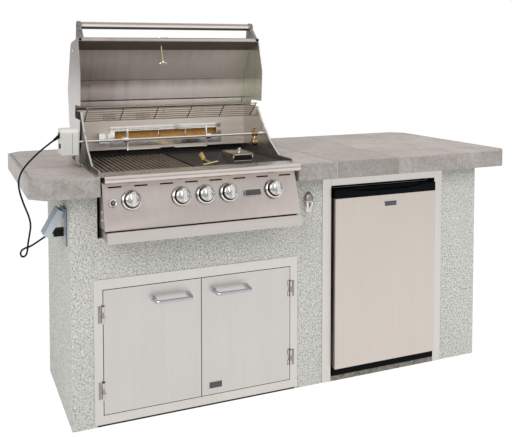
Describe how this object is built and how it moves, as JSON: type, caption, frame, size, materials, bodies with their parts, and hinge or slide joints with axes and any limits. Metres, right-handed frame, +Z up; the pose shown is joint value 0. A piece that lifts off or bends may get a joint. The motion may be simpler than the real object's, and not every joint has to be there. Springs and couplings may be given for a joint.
{
  "type": "outdoor kitchen island",
  "caption": "Tiled stucco island with a built-in gas grill, rotisserie, storage doors and a refrigerator; hood, doors, knobs, spit and tray move.",
  "frame": {"origin": "centre of the object's bounding box, on the floor, measured without the cord and its plug", "axes": "+X right along the counter, +Y to the back, +Z up"},
  "size_m": [2.1465, 0.86, 1.505],
  "materials": {
    "stucco": "speckled pale grey-green cement stucco",
    "frame_steel": "galvanised square tube",
    "deck_board": "cement board",
    "tile": "satin grey-taupe ceramic tile",
    "grout": "pale cement grout",
    "stone": "grey stone sill",
    "stainless": "brushed stainless steel",
    "mirror_steel": "bright stainless liner with fine brushing",
    "burner_ceramic": "stainless burner frame round a perforated ceramic",
    "cast_iron": "seasoned dark grate",
    "lifter_brass": "worn yellow metal handle",
    "chrome": "polished",
    "manifold_steel": "plain steel pipe",
    "button_plastic": "black push button",
    "motor_steel": "light stainless housing",
    "black_plastic": "black moulded plastic",
    "white_plastic": "white liner",
    "shelf_wire": "clear glass shelf",
    "outlet_plastic": "grey weatherproof plastic",
    "rubber": "black rubber",
    "cord": "black flexible cord"
  },
  "bodies": {
    "island": {"front_wall": "stucco", "side_walls": "stucco", "back_wall": "stucco", "steel_frame": "frame_steel", "counter_deck": "deck_board", "top_tiles": "tile", "edge_tiles": "tile", "grout_bed": "grout", "fridge_sill": "stone", "firebox": "stainless", "firebox_cheeks": "stainless", "rear_panel": "stainless", "front_sill": "stainless", "control_panel": "stainless", "door_frame": "stainless", "door_hinge_pins": "stainless", "fridge_trim": "stainless", "smoker_box": "stainless", "motor_bracket": "stainless", "bottle_opener": "stainless", "flame_tamers": "stainless", "main_burners": "stainless", "rear_burner": "burner_ceramic", "cooking_grate": "cast_iron", "griddle": "cast_iron", "grate_lifter": "lifter_brass", "knob_bezels": "chrome", "gas_manifold": "manifold_steel", "rotisserie_motor": "motor_steel", "fridge_base": "black_plastic", "fridge_cabinet": "white_plastic", "outlet_box": "white_plastic", "fridge_shelves": "shelf_wire", "outlet_plate": "outlet_plastic", "strain_relief": "rubber", "power_cord": "cord", "power_plug": "cord"},
    "hood": {"hood_skin": "stainless", "hood_sides": "stainless", "hood_liner": "mirror_steel", "hood_handle": "stainless", "hood_thermometer": "chrome", "hood_bumpers": "rubber"},
    "rack": {"warming_rack": "chrome"},
    "spit": {"spit_rod": "chrome", "spit_forks": "chrome", "spit_counterweight": "chrome"},
    "knob_1": {"knob_1": "chrome"},
    "knob_2": {"knob_2": "chrome"},
    "knob_3": {"knob_3": "chrome"},
    "knob_4": {"knob_4": "chrome"},
    "knob_5": {"knob_5": "chrome"},
    "light_button": {"light_button": "button_plastic"},
    "drip_tray": {"drip_tray": "stainless"},
    "smoker_lid": {"smoker_lid": "stainless"},
    "left_door": {"left_door": "stainless"},
    "right_door": {"right_door": "stainless"},
    "fridge_door": {"fridge_door": "stainless", "fridge_cap_and_gasket": "black_plastic"},
    "outlet_lid": {"outlet_lid": "outlet_plastic"}
  },
  "joints": [
    {"name": "hood_swing", "type": "hinge", "parent": "island", "child": "hood", "pos_m": [-0.4205, 0.03, 1.021], "axis": [1, 0, 0], "range_deg": [0, 90]},
    {"name": "rack_tilt", "type": "hinge", "parent": "island", "child": "rack", "pos_m": [-0.4205, 0.02, 1.097], "axis": [1, 0, 0], "range_deg": [0, 41]},
    {"name": "spit_turn", "type": "hinge", "parent": "island", "child": "spit", "pos_m": [-0.4205, -0.088, 1.027], "axis": [1, 0, 0], "continuous": true},
    {"name": "knob_1_turn", "type": "hinge", "parent": "island", "child": "knob_1", "pos_m": [-0.705, -0.38862, 0.84639], "axis": [0, -0.9543, 0.2989], "range_deg": [0, 120]},
    {"name": "knob_2_turn", "type": "hinge", "parent": "island", "child": "knob_2", "pos_m": [-0.51533, -0.38862, 0.84639], "axis": [0, -0.9543, 0.2989], "range_deg": [0, 120]},
    {"name": "knob_3_turn", "type": "hinge", "parent": "island", "child": "knob_3", "pos_m": [-0.4205, -0.38862, 0.84639], "axis": [0, -0.9543, 0.2989], "range_deg": [0, 120]},
    {"name": "knob_4_turn", "type": "hinge", "parent": "island", "child": "knob_4", "pos_m": [-0.32567, -0.38862, 0.84639], "axis": [0, -0.9543, 0.2989], "range_deg": [0, 120]},
    {"name": "knob_5_turn", "type": "hinge", "parent": "island", "child": "knob_5", "pos_m": [-0.136, -0.38862, 0.84639], "axis": [0, -0.9543, 0.2989], "range_deg": [0, 120]},
    {"name": "light_button_push", "type": "slide", "parent": "island", "child": "light_button", "axis": [0, 0.9543, -0.2989], "range_m": [0, 0.003], "stiffness_N_per_m": 300},
    {"name": "drip_tray_slide", "type": "slide", "parent": "island", "child": "drip_tray", "axis": [0, -1, 0], "range_m": [0, 0.35]},
    {"name": "smoker_lid_lift", "type": "hinge", "parent": "island", "child": "smoker_lid", "pos_m": [-0.202, -0.131, 0.9653], "axis": [-1, 0, 0], "range_deg": [0, 70]},
    {"name": "left_door_swing", "type": "hinge", "parent": "island", "child": "left_door", "pos_m": [-0.801, -0.3281, 0.276], "axis": [0, 0, -1], "range_deg": [0, 110]},
    {"name": "right_door_swing", "type": "hinge", "parent": "island", "child": "right_door", "pos_m": [-0.029, -0.3281, 0.276], "axis": [0, 0, 1], "range_deg": [0, 110]},
    {"name": "fridge_door_swing", "type": "hinge", "parent": "island", "child": "fridge_door", "pos_m": [0.665, -0.333, 0.43], "axis": [0, 0, 1], "range_deg": [0, 110]},
    {"name": "outlet_lid_swing", "type": "hinge", "parent": "island", "child": "outlet_lid", "pos_m": [-0.925, -0.218, 0.801], "axis": [0, 1, 0], "range_deg": [0, 78]}
  ],
  "couplings": [
    {"joint": "rack_tilt", "follows": "hood_swing", "ratio": 0.45}
  ]
}
